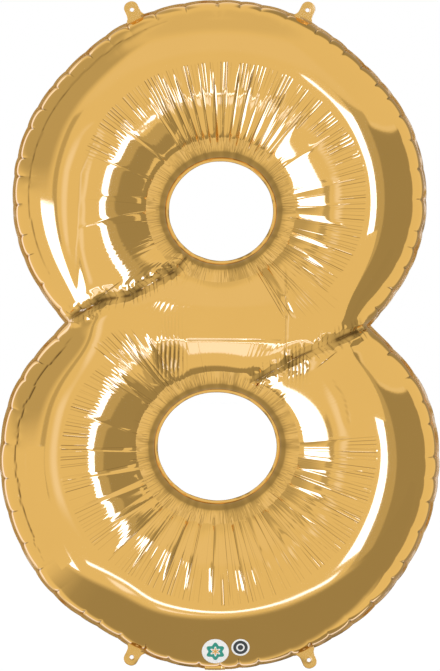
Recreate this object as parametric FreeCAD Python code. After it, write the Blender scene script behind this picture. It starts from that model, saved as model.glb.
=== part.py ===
import FreeCAD, Part
import math
import os

# Foil number balloon, figure eight, inflated. Millimetres.
# +X is to the right and +Z up as the figure is read; the front faces -Y.
# The two films meet in the plane y = 0. The origin is the centre of the figure.

# ---- driving dimensions ----
UPPER_RING = {"z": 174.0, "a": 267.0, "b": 258.0}    # outer seam of each ring, an ellipse about x = 0
LOWER_RING = {"z": -155.5, "a": 283.5, "b": 274.4}
UPPER_EYE = {"x": 2.0, "z": 160.0, "a": 67.0, "b": 64.0}
LOWER_EYE = {"x": -3.0, "z": -143.0, "a": 76.5, "b": 69.5}
# where the seam draws in from its ellipse: polar angle, depth, angular width
UPPER_PULLS = [(218.0, 9.0, 20.0), (320.5, 10.4, 20.0), (45.0, 6.0, 15.0), (135.0, 4.0, 15.0)]
LOWER_PULLS = [(139.3, 16.0, 18.5), (40.9, 22.0, 18.7), (238.0, 7.0, 12.0)]

PLY = 0.8              # one film, thick enough to make a sound solid
SEAM_LIP = 5.0         # fused lip outside the foot of each film's dome
SEAM_WIDTH = 8.0       # whole width of the fused seam
TUBE_WIDTH = 205.0
DEPTH_RATIO = 0.82     # half-depth of the tube over its half-width
PINCH_DEPTH = 0.30     # share of the depth lost in the two slanting creases
PINCH_HALF_WIDTH = 17.0
LEFT_PINCH = [(-200.0, 17.0), (-147.0, 45.0), (-115.0, 50.0), (-57.0, 82.0), (-38.0, 106.0)]
RIGHT_PINCH = [(195.0, 13.0), (162.0, 0.0), (104.0, -25.0), (65.0, -47.0), (38.0, -62.0)]

TAB_WIDTH = 20.0
TAB_LENGTH = 21.0
TAB_TIP_RADIUS = 6.0
TAB_HOLE_RADIUS = 2.5
TAB_HOLE_OUT = 10.0    # hole centre beyond the fold
FOLD_GAP = 1.25        # fold line beyond the seam's edge
ROOT_GAP = 0.3         # tab's own end beyond its fold line
# each tab: ring, polar angle on that ring, sideways lean of its tip
TABS = {
    "upper_left": (UPPER_RING, UPPER_PULLS, 114.7, -3.0),
    "upper_right": (UPPER_RING, UPPER_PULLS, 65.2, -0.7),
    "lower_left": (LOWER_RING, LOWER_PULLS, 246.6, -0.9),
    "lower_right": (LOWER_RING, LOWER_PULLS, 293.7, -0.2),
}

TAIL_X = -6.0
TAIL_ROOT_WIDTH = 26.0
TAIL_MOUTH_WIDTH = 34.0
TAIL_LENGTH = 58.0
TAIL_PLY = 0.55
TAIL_SEAM = 4.0
TAIL_FOLD = 100.0      # degrees back from hanging straight down
MOUTH_FILM = 0.22
MOUTH_FILM_INSET = 6.0

NECK_WIDTH = 22.0      # unfused gap in the outer seam where the valve passes
NECK_SLOT = 1.1
VALVE_WIDTH = 20.0
VALVE_TIP_WIDTH = 15.0
VALVE_LENGTH = 112.0
VALVE_FILM = 0.35
VALVE_GAP = 0.1        # between the two valve films
VALVE_ROOT_CLEARANCE = 0.6

# ---- grid sizes of the formed films ----
ARC_STEPS = 72
WAIST_STEPS = 30
ACROSS_STEPS = 20


def vec(x, y, z):
    return FreeCAD.Vector(x, y, z)


# ---- plan shape ----

def ring_radius(ring, pulls, angle, inset):
    """Polar radius of a ring's outer seam about the ring's centre, moved inwards by inset."""
    c = math.cos(angle) / ring["a"]
    s = math.sin(angle) / ring["b"]
    radius = 1.0 / math.hypot(c, s)
    for at, depth, width in pulls:
        turn = (math.degrees(angle) - at + 180.0) % 360.0 - 180.0
        radius -= depth * math.exp(-(turn / width) ** 2)
    return radius - inset


def ring_point(ring, pulls, angle, inset):
    radius = ring_radius(ring, pulls, angle, inset)
    return radius * math.cos(angle), ring["z"] + radius * math.sin(angle)


def ring_depth_inside(ring, pulls, x, z, inset):
    """How far (x, z) lies inside a ring's seam; negative outside it."""
    dz = z - ring["z"]
    return ring_radius(ring, pulls, math.atan2(dz, x), inset) - math.hypot(x, dz)


def eye_point(eye, angle, outset):
    c = math.cos(angle) / (eye["a"] + outset)
    s = math.sin(angle) / (eye["b"] + outset)
    radius = 1.0 / math.hypot(c, s)
    return eye["x"] + radius * math.cos(angle), eye["z"] + radius * math.sin(angle)


def eye_distance(eye, x, z, outset):
    """How far (x, z) lies outside an eye's seam."""
    dx = x - eye["x"]
    dz = z - eye["z"]
    ex, ez = eye_point(eye, math.atan2(dz, dx), outset)
    return math.hypot(dx, dz) - math.hypot(ex - eye["x"], ez - eye["z"])


def waist_angle(low_deg, high_deg, inset):
    """Polar angle on the upper ring, between the two given, where its seam meets the lower ring's."""
    low = math.radians(low_deg)
    high = math.radians(high_deg)

    def inside_lower(angle):
        x, z = ring_point(UPPER_RING, UPPER_PULLS, angle, inset)
        return ring_depth_inside(LOWER_RING, LOWER_PULLS, x, z, inset) > 0

    for _ in range(60):
        middle = 0.5 * (low + high)
        if inside_lower(middle) == inside_lower(high):
            high = middle
        else:
            low = middle
    return 0.5 * (low + high)


def waist_corner(side, inset):
    """The corner where the two rings' seams meet: side is -1 on the left, +1 on the right."""
    limits = (180.0, 255.0) if side < 0 else (360.0, 285.0)
    angle = waist_angle(limits[0], limits[1], inset)
    return ring_point(UPPER_RING, UPPER_PULLS, angle, inset)


# ---- depth of the inflated tube ----

def segment_distance(x, z, a, b):
    ux = b[0] - a[0]
    uz = b[1] - a[1]
    t = ((x - a[0]) * ux + (z - a[1]) * uz) / (ux * ux + uz * uz)
    t = min(max(t, 0.0), 1.0)
    return math.hypot(x - a[0] - t * ux, z - a[1] - t * uz)


def pinch_factor(x, z):
    factor = 1.0
    for path in (LEFT_PINCH, RIGHT_PINCH):
        nearest = min(segment_distance(x, z, a, b) for a, b in zip(path, path[1:]))
        factor -= PINCH_DEPTH * math.exp(-(nearest / PINCH_HALF_WIDTH) ** 2)
    return factor


def film_height(x, z, inset):
    """Distance of the film from its seam's face: elliptical across a plain stretch of tube."""
    upper = ring_depth_inside(UPPER_RING, UPPER_PULLS, x, z, inset)
    lower = ring_depth_inside(LOWER_RING, LOWER_PULLS, x, z, inset)
    to_outline = upper + lower + math.hypot(upper, lower)
    gaps = [eye_distance(UPPER_EYE, x, z, inset), eye_distance(LOWER_EYE, x, z, inset), to_outline]
    if min(gaps) < 1e-6:
        return 0.0
    width = 1.0 / sum(1.0 / gap for gap in gaps)
    return DEPTH_RATIO * math.sqrt(TUBE_WIDTH * width) * pinch_factor(x, z)


# ---- formed films ----

def spline_through(points):
    curve = Part.BSplineCurve()
    curve.interpolate(Points=points, Parameters=[float(i) for i in range(len(points))])
    return curve


def surface_through(grid):
    """Cubic surface through a grid of points; neighbours with the same border points share the border."""
    rows = [spline_through(row) for row in grid]
    columns = [spline_through([row.getPole(k + 1) for row in rows]) for k in range(rows[0].NbPoles)]
    poles = [[column.getPole(i + 1) for column in columns] for i in range(columns[0].NbPoles)]
    surface = Part.BSplineSurface()
    surface.buildFromPolesMultsKnots(
        poles,
        columns[0].getMultiplicities(),
        rows[0].getMultiplicities(),
        columns[0].getKnots(),
        rows[0].getKnots(),
        False,
        False,
        3,
        3,
    )
    return surface.toShape()


def sector_borders(inset):
    """Four sectors, each a list of (point at the eye, point at the far border) along the sector."""
    left = waist_corner(-1, inset)
    right = waist_corner(1, inset)
    outset = inset
    sectors = []
    for ring, pulls, eye, turn in (
        (UPPER_RING, UPPER_PULLS, UPPER_EYE, 1),
        (LOWER_RING, LOWER_PULLS, LOWER_EYE, -1),
    ):
        start = math.atan2(right[1] - ring["z"], right[0])
        end = math.atan2(left[1] - ring["z"], left[0])
        if (end - start) * turn < 0:
            end += 2 * math.pi * turn
        arc = []
        for i in range(ARC_STEPS + 1):
            angle = start + (end - start) * i / ARC_STEPS
            far = ring_point(ring, pulls, angle, inset)
            if i == 0:
                far = right
            if i == ARC_STEPS:
                far = left
            arc.append((eye_point(eye, angle, outset), far))
        waist = []
        close = start + 2 * math.pi * turn
        for i in range(WAIST_STEPS + 1):
            share = i / WAIST_STEPS
            angle = end + (close - end) * share
            far = (left[0] + (right[0] - left[0]) * share, left[1] + (right[1] - left[1]) * share)
            waist.append((eye_point(eye, angle, outset), far))
        sectors.append(arc)
        sectors.append(waist)
    return sectors


def formed_grid(borders, inset, foot, side):
    """Points of one formed film over a sector; side is -1 for the front, +1 for the back."""
    grid = []
    for near, far in borders:
        row = []
        for j in range(ACROSS_STEPS + 1):
            share = 0.5 * (1.0 - math.cos(math.pi * j / ACROSS_STEPS))
            x = near[0] + (far[0] - near[0]) * share
            z = near[1] + (far[1] - near[1]) * share
            row.append(vec(x, side * (foot + film_height(x, z, inset)), z))
        grid.append(row)
    return grid


def foil_panel(side):
    """One film: a formed skin of one ply whose edges stand on the seams' faces."""
    faces = []
    outer_inset = SEAM_LIP
    inner_inset = SEAM_LIP + PLY
    outer_sectors = sector_borders(outer_inset)
    inner_sectors = sector_borders(inner_inset)
    for number, (outer, inner) in enumerate(zip(outer_sectors, inner_sectors)):
        outside = formed_grid(outer, outer_inset, PLY, side)
        inside = formed_grid(inner, inner_inset, PLY, side)
        faces.append(surface_through(outside))
        faces.append(surface_through(inside))
        ends = [0, -1] if number % 2 == 0 else [0]
        for end in ends:
            outer_edge = spline_through([row[end] for row in outside]).toShape()
            inner_edge = spline_through([row[end] for row in inside]).toShape()
            faces.append(Part.makeRuledSurface(outer_edge, inner_edge))
    shell = Part.makeShell(faces)
    shell.sewShape()
    solid = Part.makeSolid(Part.Shell(shell.Faces))
    if solid.Volume < 0:
        solid.reverse()
    return solid


# ---- fused seams ----

def outline_wire(inset):
    arcs = []
    for number, borders in enumerate(sector_borders(inset)):
        if number % 2 == 0:
            points = [vec(far[0], 0, far[1]) for _, far in borders]
            arcs.append(spline_through(points).toShape())
    return Part.Wire(Part.__sortEdges__(arcs))


def eye_wire(eye, outset):
    ellipse = Part.Ellipse(vec(eye["x"], 0, eye["z"]), eye["a"] + outset, eye["b"] + outset)
    ellipse.Axis = vec(0, -1, 0)
    ellipse.XAxis = vec(1, 0, 0)
    return Part.Wire([ellipse.toShape()])


def band_between(outer, inner):
    """Flat band of both plies fused together, between two wires in the plane y = 0."""
    whole = Part.Face(outer).extrude(vec(0, 2 * PLY, 0))
    hole = Part.Face(inner).extrude(vec(0, 2 * PLY, 0))
    band = whole.cut(hole)
    band.translate(vec(0, -PLY, 0))
    return band.Solids[0]


def outer_seam_band():
    band = band_between(outline_wire(0.0), outline_wire(SEAM_WIDTH))
    bottom = seam_bottom()
    slot = Part.makeBox(NECK_WIDTH, NECK_SLOT, 6 * SEAM_WIDTH)
    slot.translate(vec(TAIL_X - NECK_WIDTH / 2, -NECK_SLOT / 2, bottom - 3 * SEAM_WIDTH))
    return band.cut(slot).Solids[0]


def eye_seam_band(eye):
    return band_between(eye_wire(eye, SEAM_WIDTH), eye_wire(eye, 0.0))


# ---- tabs ----

def place_on_fold(shape, origin, outward):
    """Move a shape drawn with its fold at the origin along X and its length along Z to its place."""
    across = vec(outward.z, 0, -outward.x)
    matrix = FreeCAD.Matrix(
        across.x, 0, outward.x, origin.x,
        0, 1, 0, 0,
        across.z, 0, outward.z, origin.z,
        0, 0, 0, 1,
    )
    return shape.transformGeometry(matrix)


def seam_normal(ring, pulls, angle):
    step = 0.01
    ax, az = ring_point(ring, pulls, angle - step, 0.0)
    bx, bz = ring_point(ring, pulls, angle + step, 0.0)
    normal = vec(bz - az, 0, ax - bx)
    return normal.normalize()


def tab_frame(ring, pulls, angle_deg):
    angle = math.radians(angle_deg)
    x, z = ring_point(ring, pulls, angle, 0.0)
    outward = seam_normal(ring, pulls, angle)
    return vec(x, 0, z) + outward * FOLD_GAP, outward


def tab_plate(lean):
    """A tongue of both plies: straight sides that lean, two round corners at its tip."""
    half = TAB_WIDTH / 2
    tip = half - 1.0
    r = TAB_TIP_RADIUS
    k = r * (1 - math.sqrt(0.5))
    y = -PLY
    top = TAB_LENGTH

    def at(x, z):
        return vec(x + lean * z / top, y, z)

    edges = [
        Part.LineSegment(at(-half, ROOT_GAP), at(half, ROOT_GAP)).toShape(),
        Part.LineSegment(at(half, ROOT_GAP), at(tip, top - r)).toShape(),
        Part.Arc(at(tip, top - r), at(tip - k, top - k), at(tip - r, top)).toShape(),
        Part.LineSegment(at(tip - r, top), at(r - tip, top)).toShape(),
        Part.Arc(at(r - tip, top), at(k - tip, top - k), at(-tip, top - r)).toShape(),
        Part.LineSegment(at(-tip, top - r), at(-half, ROOT_GAP)).toShape(),
    ]
    plate = Part.Face(Part.Wire(edges)).extrude(vec(0, 2 * PLY, 0))
    hole_x = lean * TAB_HOLE_OUT / top
    hole = Part.makeCylinder(TAB_HOLE_RADIUS, 4 * PLY, vec(hole_x, -2 * PLY, TAB_HOLE_OUT), vec(0, 1, 0))
    return plate.cut(hole).Solids[0]


def hang_tab(name):
    ring, pulls, angle_deg, lean = TABS[name]
    origin, outward = tab_frame(ring, pulls, angle_deg)
    across = vec(outward.z, 0, -outward.x)
    hole = origin + outward * TAB_HOLE_OUT + across * (lean * TAB_HOLE_OUT / TAB_LENGTH)
    print("tab", name, "fold", tuple(origin), "outward", tuple(outward), "hole", tuple(hole))
    plate = tab_plate(lean)
    turn = math.degrees(math.atan2(outward.x, outward.z))
    plate.rotate(vec(0, 0, 0), vec(0, 1, 0), turn)
    plate.translate(origin)
    return plate


# ---- inflation tail and valve ----

def seam_bottom():
    """Height of the outer seam's edge at the tail."""
    angle = math.atan2(-LOWER_RING["b"], TAIL_X)
    return ring_point(LOWER_RING, LOWER_PULLS, angle, 0.0)[1]


def tail_half_width(down):
    share = down / TAIL_LENGTH
    return 0.5 * (TAIL_ROOT_WIDTH + (TAIL_MOUTH_WIDTH - TAIL_ROOT_WIDTH) * share)


def flat_strip(corners, low_y, thickness):
    """Extrude a polygon of (x, z) corners along Y."""
    points = [vec(x, low_y, z) for x, z in corners]
    points.append(points[0])
    return Part.Face(Part.makePolygon(points)).extrude(vec(0, thickness, 0))


def folded(shape):
    """Turn a tail piece, drawn hanging from z = 0, back about the fold and move it there."""
    shape.rotate(vec(0, 0, 0), vec(1, 0, 0), TAIL_FOLD)
    shape.translate(vec(TAIL_X, 0, seam_bottom() - FOLD_GAP))
    return shape


def tail_ply(side):
    top = tail_half_width(ROOT_GAP) - TAIL_SEAM
    bottom = tail_half_width(TAIL_LENGTH) - TAIL_SEAM
    corners = [(-top, -ROOT_GAP), (top, -ROOT_GAP), (bottom, -TAIL_LENGTH), (-bottom, -TAIL_LENGTH)]
    low_y = -PLY if side < 0 else PLY - TAIL_PLY
    return folded(flat_strip(corners, low_y, TAIL_PLY))


def tail_seam(side):
    top = tail_half_width(ROOT_GAP)
    bottom = tail_half_width(TAIL_LENGTH)
    corners = [
        (side * top, -ROOT_GAP),
        (side * (top - TAIL_SEAM), -ROOT_GAP),
        (side * (bottom - TAIL_SEAM), -TAIL_LENGTH),
        (side * bottom, -TAIL_LENGTH),
    ]
    return folded(flat_strip(corners, -PLY, 2 * PLY))


def mouth_film(side):
    """Valve film lining one ply of the tail; it stops short of the mouth."""
    half = tail_half_width(0.0) - TAIL_SEAM
    low = -(TAIL_LENGTH - MOUTH_FILM_INSET)
    corners = [(-half, -ROOT_GAP), (half, -ROOT_GAP), (half, low), (-half, low)]
    inner = PLY - TAIL_PLY
    low_y = -inner if side < 0 else inner - MOUTH_FILM
    return folded(flat_strip(corners, low_y, MOUTH_FILM))


def valve_root_z():
    return seam_bottom() + SEAM_WIDTH + VALVE_ROOT_CLEARANCE


def valve_film(side):
    """Flap of clear film that stands inside the tube above the neck."""
    root = VALVE_WIDTH / 2
    tip = VALVE_TIP_WIDTH / 2
    base = valve_root_z()
    corners = [
        (TAIL_X - root, base),
        (TAIL_X + root, base),
        (TAIL_X + tip, base + VALVE_LENGTH),
        (TAIL_X - tip, base + VALVE_LENGTH),
    ]
    low_y = -VALVE_GAP / 2 - VALVE_FILM if side < 0 else VALVE_GAP / 2
    return flat_strip(corners, low_y, VALVE_FILM)


def main():
    os.makedirs("parts", exist_ok=True)
    parts = {
        "front_foil_panel": foil_panel(-1),
        "back_foil_panel": foil_panel(1),
        "outer_seam_band": outer_seam_band(),
        "upper_eye_seam_band": eye_seam_band(UPPER_EYE),
        "lower_eye_seam_band": eye_seam_band(LOWER_EYE),
        "tail_front_ply": tail_ply(-1),
        "tail_back_ply": tail_ply(1),
        "tail_seam_left": tail_seam(-1),
        "tail_seam_right": tail_seam(1),
        "mouth_film_front": mouth_film(-1),
        "mouth_film_back": mouth_film(1),
        "valve_film_front": valve_film(-1),
        "valve_film_back": valve_film(1),
    }
    for name in TABS:
        parts["hang_tab_" + name] = hang_tab(name)
    print("tail fold z", seam_bottom() - FOLD_GAP, "valve root z", valve_root_z())
    for node, shape in parts.items():
        box = shape.BoundBox
        print(node, shape.ShapeType, shape.isValid(), round(shape.Volume, 1), box)
        shape.exportStep("parts/" + node + ".step")


main()
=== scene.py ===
import math

import bpy
import numpy as np
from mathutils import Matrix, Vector
from mathutils.bvhtree import BVHTree


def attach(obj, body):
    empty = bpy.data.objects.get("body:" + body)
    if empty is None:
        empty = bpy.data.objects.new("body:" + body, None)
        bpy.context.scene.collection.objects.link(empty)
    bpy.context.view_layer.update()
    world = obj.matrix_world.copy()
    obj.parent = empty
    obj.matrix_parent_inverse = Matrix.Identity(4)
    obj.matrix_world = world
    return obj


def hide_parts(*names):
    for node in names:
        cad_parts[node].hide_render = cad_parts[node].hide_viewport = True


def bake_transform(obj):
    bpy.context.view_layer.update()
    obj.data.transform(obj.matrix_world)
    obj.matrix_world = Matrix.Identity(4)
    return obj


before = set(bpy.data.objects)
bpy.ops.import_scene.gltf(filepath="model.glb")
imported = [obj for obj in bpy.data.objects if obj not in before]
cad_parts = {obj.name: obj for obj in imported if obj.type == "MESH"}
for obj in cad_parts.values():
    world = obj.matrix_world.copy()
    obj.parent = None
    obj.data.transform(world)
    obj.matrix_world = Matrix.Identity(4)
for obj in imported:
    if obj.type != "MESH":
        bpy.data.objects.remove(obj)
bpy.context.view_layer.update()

# Inflated foil numeral. The plan shape is worked out in millimetres, as in the CAD, and
# meshes are made in metres. The front film faces -Y and the two films meet near y = 0.
MM = 0.001
FULL_TURN = 2 * math.pi
UPPER_EYE = {"x": 2.0, "z": 160.0, "a": 67.0, "b": 64.0}
LOWER_EYE = {"x": -3.0, "z": -143.0, "a": 76.5, "b": 69.5}
# Each ring's outline is an oval, pulled in at some places: degrees round the ring, depth, width
# in degrees. The seed is for its own tucks and wrinkles.
UPPER_RING = {
    "z": 174.0, "a": 267.0, "b": 258.0, "seed": 5,
    "pulls": [(218, 9, 20), (320.5, 10.4, 20), (45, 6, 15), (135, 4, 15)],
}
LOWER_RING = {
    "z": -155.5, "a": 283.5, "b": 274.4, "seed": 9,
    "pulls": [(139.3, 16, 18.5), (40.9, 22, 18.7), (238, 7, 12)],
}
# The slanting pinches, from the waist's corners to the eyes, and their random seeds.
LEFT_PINCH = [(-200, 17), (-147, 45), (-115, 50), (-57, 82), (-38, 106)]
RIGHT_PINCH = [(195, 13), (162, 0), (104, -25), (65, -47), (38, -62)]
PINCHES = ((LEFT_PINCH, 31), (RIGHT_PINCH, 47))
PINCH_DEPTH = 0.11     # how far the pinches cut into the tube, as a share of its height
PINCH_HALF_WIDTH = 12.0

FILM = 0.25            # how far each film lies from y = 0 at the seams
SEAM_LIP = 3.5         # fused lip outside the formed film
TUBE_WIDTH = 205.0
DEPTH_RATIO = 0.82     # depth of the tube over both films, as a share of its width
CREST = 0.60           # where the pleats end, as a share of the way from eye to outline
CREST_SPAN = 212.0     # that way is taken as no longer than this
SLOPE_DROP = 6.0       # the gathered slopes round the eyes are lower than an even tube's
SLOPE_DROP_AT = 36.0   # most so at this distance from the eye
SLOPE_DROP_WIDTH = 27.0

BACK_SEED = 300        # added to the seed of the eyes' wrinkles on the back film
FINE_PLEATS = 244      # round each eye
SLOPE_GATHERS = 170    # shallower, over the whole slope
COLLAR_GATHERS = 132   # short, round the eye's collar
PANEL_MEAN = 0.66      # mean height of a pleat, taken off so that pleats don't lift the film
CORNER_FADE = (4.0, 26.0)  # wrinkles fade in over these distances from the waist's corners

COLUMNS_ARC = 1040     # columns round the outer arc of each ring
COLUMNS_WAIST = 430    # columns that end on the waist line between the rings
ROWS = 124
FOLD_SHADE_START = 0.05      # bend per millimetre of film at which painted shade starts in a fold
FOLD_SHADE_FULL = 0.30       # and how much more makes that painted shade full

# Long creases round each eye: degrees at the collar, degrees at the crest, strength.
# A positive strength makes a valley and a negative one a raised fold.
UPPER_CREASES = [
    (121, 124, -0.8), (138, 141, -0.9), (156, 158, -0.8), (169, 176, -0.8), (180, 188, -0.9),
    (118, 118, 0.8), (113, 114, 1.2), (108, 109, 1.2), (104, 104, 0.7), (99, 99, 1.1), (93, 93, 1.2),
    (88, 88, 0.8), (83, 82, 1.2), (77, 77, 1.1), (72, 71, 0.8), (66, 66, 1.2), (60, 61, 1.3), (54, 55, 0.9),
    (47, 50, 1.2), (34, 33, 0.5), (17, 12, -0.6), (3, 1, 0.4),
    (-6, -9, 1.3), (-16, -21, -1.2), (-24, -31, -1.2), (-34, -38, 0.5), (-49, -57, -1.4), (-57, -60, 1.0),
]
LOWER_CREASES = [
    (151, 140, -0.9), (171, 165, -0.9), (184, 180, -0.9), (197, 191, -0.8), (208, 203, -0.9),
    (219, 213, 1.0), (228, 225, 1.3), (237, 235, 1.2), (248, 248, 1.3), (257, 258, 1.2), (268, 268, 1.0),
    (275, 275, 0.5), (281, 281, 0.6), (286, 287, 0.5), (292, 293, 0.6), (299, 298, -0.9), (304, 305, 0.6),
    (307, 312, -1.1), (315, 318, 0.5), (320, 324, -1.1), (327, 332, 0.5), (332, 340, -1.0),
    (344, 353, -0.9), (3, 5, 0.6), (131, 128, 0.9), (123, 121, 0.7),
]
# Sectors of wide flat panels with few gathers: middle, half-width, softness in degrees.
UPPER_PANELS = [(158, 34, 7), (20, 24, 8)]
LOWER_PANELS = [(184, 30, 7), (28, 26, 8)]
# Sectors with hardly any fine pleats: middle, half-width, softness in degrees.
UPPER_SMOOTH = (232, 72, 6)
LOWER_SMOOTH = (64, 57, 6)
# Folds along the seam on the left of each ring: from, to, inset, depth, width, wander.
UPPER_RIM_FOLD = (98, 214, 19, 2.2, 7, 0.8)
LOWER_RIM_FOLD = (132, 216, 20, 1.7, 2.2, 1.6)


# ---- plan shape ----

def turn_from(other, angle, full=360.0):
    """Signed turn from one direction to another, at most half a full turn either way."""
    return (angle - other + full / 2) % full - full / 2


def ring_radius(ring, angle, inset):
    """Radius of a ring's outline at an angle, less an inset."""
    radius = 1.0 / np.hypot(np.cos(angle) / ring["a"], np.sin(angle) / ring["b"])
    for at, depth, width in ring["pulls"]:
        radius = radius - depth * np.exp(-(turn_from(at, np.degrees(angle)) / width) ** 2)
    return radius - inset


def ring_inside(ring, x, z, inset):
    """How far a place lies inside a ring's outline, towards the ring's middle."""
    dz = z - ring["z"]
    return ring_radius(ring, np.arctan2(dz, x), inset) - np.hypot(x, dz)


def eye_radius(eye, angle, outset):
    """Radius of an eye's oval at an angle, with both half-axes longer by outset."""
    return 1.0 / np.hypot(np.cos(angle) / (eye["a"] + outset), np.sin(angle) / (eye["b"] + outset))


def eye_distance(eye, x, z, outset):
    """How far a place lies outside an eye, away from the eye's middle."""
    dx = x - eye["x"]
    dz = z - eye["z"]
    return np.hypot(dx, dz) - eye_radius(eye, np.arctan2(dz, dx), outset)


def waist_corner(side, inset):
    """Where the two rings' seams cross: side is -1 on the left, +1 on the right."""
    low, high = np.radians((180.0, 255.0) if side < 0 else (360.0, 285.0))
    for _ in range(50):
        middle = 0.5 * (low + high)
        radius = ring_radius(UPPER_RING, middle, inset)
        x, z = radius * np.cos(middle), UPPER_RING["z"] + radius * np.sin(middle)
        if ring_inside(LOWER_RING, x, z, inset) > 0:
            high = middle
        else:
            low = middle
    return x, z


# ---- smooth random fields ----

def value_noise(x, z, size, seed):
    """Smooth random field between -1 and 1 with features of the given size."""
    table = np.random.default_rng(seed).uniform(-1, 1, (64, 64))
    u, v = x / size + 1000.0, z / size + 1000.0
    iu, iv = np.floor(u).astype(int), np.floor(v).astype(int)
    fu, fv = u - iu, v - iv
    fu, fv = fu * fu * (3 - 2 * fu), fv * fv * (3 - 2 * fv)
    iu, iv, ju, jv = iu % 64, iv % 64, (iu + 1) % 64, (iv + 1) % 64
    low = table[iu, iv] * (1 - fu) + table[ju, iv] * fu
    high = table[iu, jv] * (1 - fu) + table[ju, jv] * fu
    return low * (1 - fv) + high * fv


def line_noise(along, size, seed):
    """The same field along one line."""
    return value_noise(along, np.zeros_like(along), size, seed)


def smooth(low, high, value):
    """S-shaped step from 0 at low to 1 at high, falling if low is above high."""
    t = np.clip((value - low) / (high - low), 0, 1)
    return t * t * (3 - 2 * t)


def path_distance(path, x, z):
    """Distance to a polyline, the length along it to the nearest point, and its whole length."""
    best = np.full(np.shape(x), 1e9)
    along = np.zeros(np.shape(x))
    start = 0.0
    for (ax, az), (bx, bz) in zip(path, path[1:]):
        ux, uz = bx - ax, bz - az
        length = math.hypot(ux, uz)
        t = np.clip(((x - ax) * ux + (z - az) * uz) / length ** 2, 0, 1)
        distance = np.hypot(x - ax - t * ux, z - az - t * uz)
        nearer = distance < best
        best = np.where(nearer, distance, best)
        along = np.where(nearer, start + t * length, along)
        start += length
    return best, along, start


# ---- the inflated tube ----

def film_height(x, z, inset):
    """Height of the front film's smooth shape over y = 0."""
    upper = ring_inside(UPPER_RING, x, z, inset)
    lower = ring_inside(LOWER_RING, x, z, inset)
    to_outline = upper + lower + np.hypot(upper, lower)
    gaps = [eye_distance(UPPER_EYE, x, z, inset), eye_distance(LOWER_EYE, x, z, inset), to_outline]
    gaps = [np.maximum(gap, 1e-7) for gap in gaps]
    width = 1.0 / sum(1.0 / gap for gap in gaps)
    height = DEPTH_RATIO * np.sqrt(TUBE_WIDTH * width)
    for gap in gaps[:2]:
        drop = SLOPE_DROP * np.exp(-0.5 * ((gap - SLOPE_DROP_AT) / SLOPE_DROP_WIDTH) ** 2)
        height = height - drop * smooth(0.0, 22.0, gap)
    for path, _ in PINCHES:
        distance = path_distance(path, x, z)[0]
        height = height * (1 - PINCH_DEPTH * np.exp(-(distance / PINCH_HALF_WIDTH) ** 2))
    return height


def film_normal(x, z, inset):
    """Outward normal of the front film's smooth shape."""
    step = 0.35
    dx = (film_height(x + step, z, inset) - film_height(x - step, z, inset)) / (2 * step)
    dz = (film_height(x, z + step, inset) - film_height(x, z - step, inset)) / (2 * step)
    size = np.sqrt(dx * dx + dz * dz + 1)
    return -dx / size, -1 / size, -dz / size


# ---- creases ----

def sector_weight(theta, centre, half, soft):
    """1 within half degrees of an angle about the eye, falling to 0 over soft degrees."""
    return 1 - smooth(half, half + soft, np.abs(turn_from(centre, np.degrees(theta))))


def marks_beside(at, theta):
    """The marks on both sides of an angle, their spacing, and the share of the way between."""
    right = np.searchsorted(at, theta % FULL_TURN) % len(at)
    left = (right - 1) % len(at)
    spacing = (at[right] - at[left]) % FULL_TURN
    return left, right, spacing, ((theta - at[left]) % FULL_TURN) / spacing


def pleat_panels(rng, theta, count, jitter):
    """Convex panels: height from 0 in a valley to 1, share of the way across, valleys beside."""
    at = (np.arange(count) + rng.uniform(-jitter, jitter, count)) * (FULL_TURN / count) % FULL_TURN
    left, right, _, share = marks_beside(np.sort(at), theta)
    return 4 * share * (1 - share), share, left, right


def long_creases(rng, creases, theta, distance, radius, reach):
    """Main creases from the collar to the crest, with tilted facets between them."""
    travel = np.clip(distance / reach, 0, 1.1)
    field = np.zeros_like(distance)
    for near, far, strength in creases:
        line = math.radians(near) + math.radians(far - near) * travel
        offset = np.abs(turn_from(line, theta, FULL_TURN)) * radius
        width = 1.5 + 0.5 * abs(strength) + 0.6 * travel
        start = rng.uniform(7.0, 14.0)
        end = rng.uniform(0.72, 0.98)
        window = smooth(start, start + 10.0, distance) * (1 - smooth(end - 0.12, end + 0.04, travel))
        field -= 1.1 * strength * window * np.exp(-offset / width)
    at = np.radians(sorted(far % 360 for _, far, _ in creases))
    left, right, spacing, share = marks_beside(at, theta)
    level = rng.uniform(-1, 1, len(at))
    size = np.minimum(spacing * 120.0, 26.0)
    tilt = 0.05 * size * (level[left] * (1 - share) + level[right] * share)
    puff = 0.035 * size * 4 * share * (1 - share)
    hold = smooth(10, 34, distance) * (1 - smooth(0.78, 1.0, travel))
    return field + (tilt + puff) * hold


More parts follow.
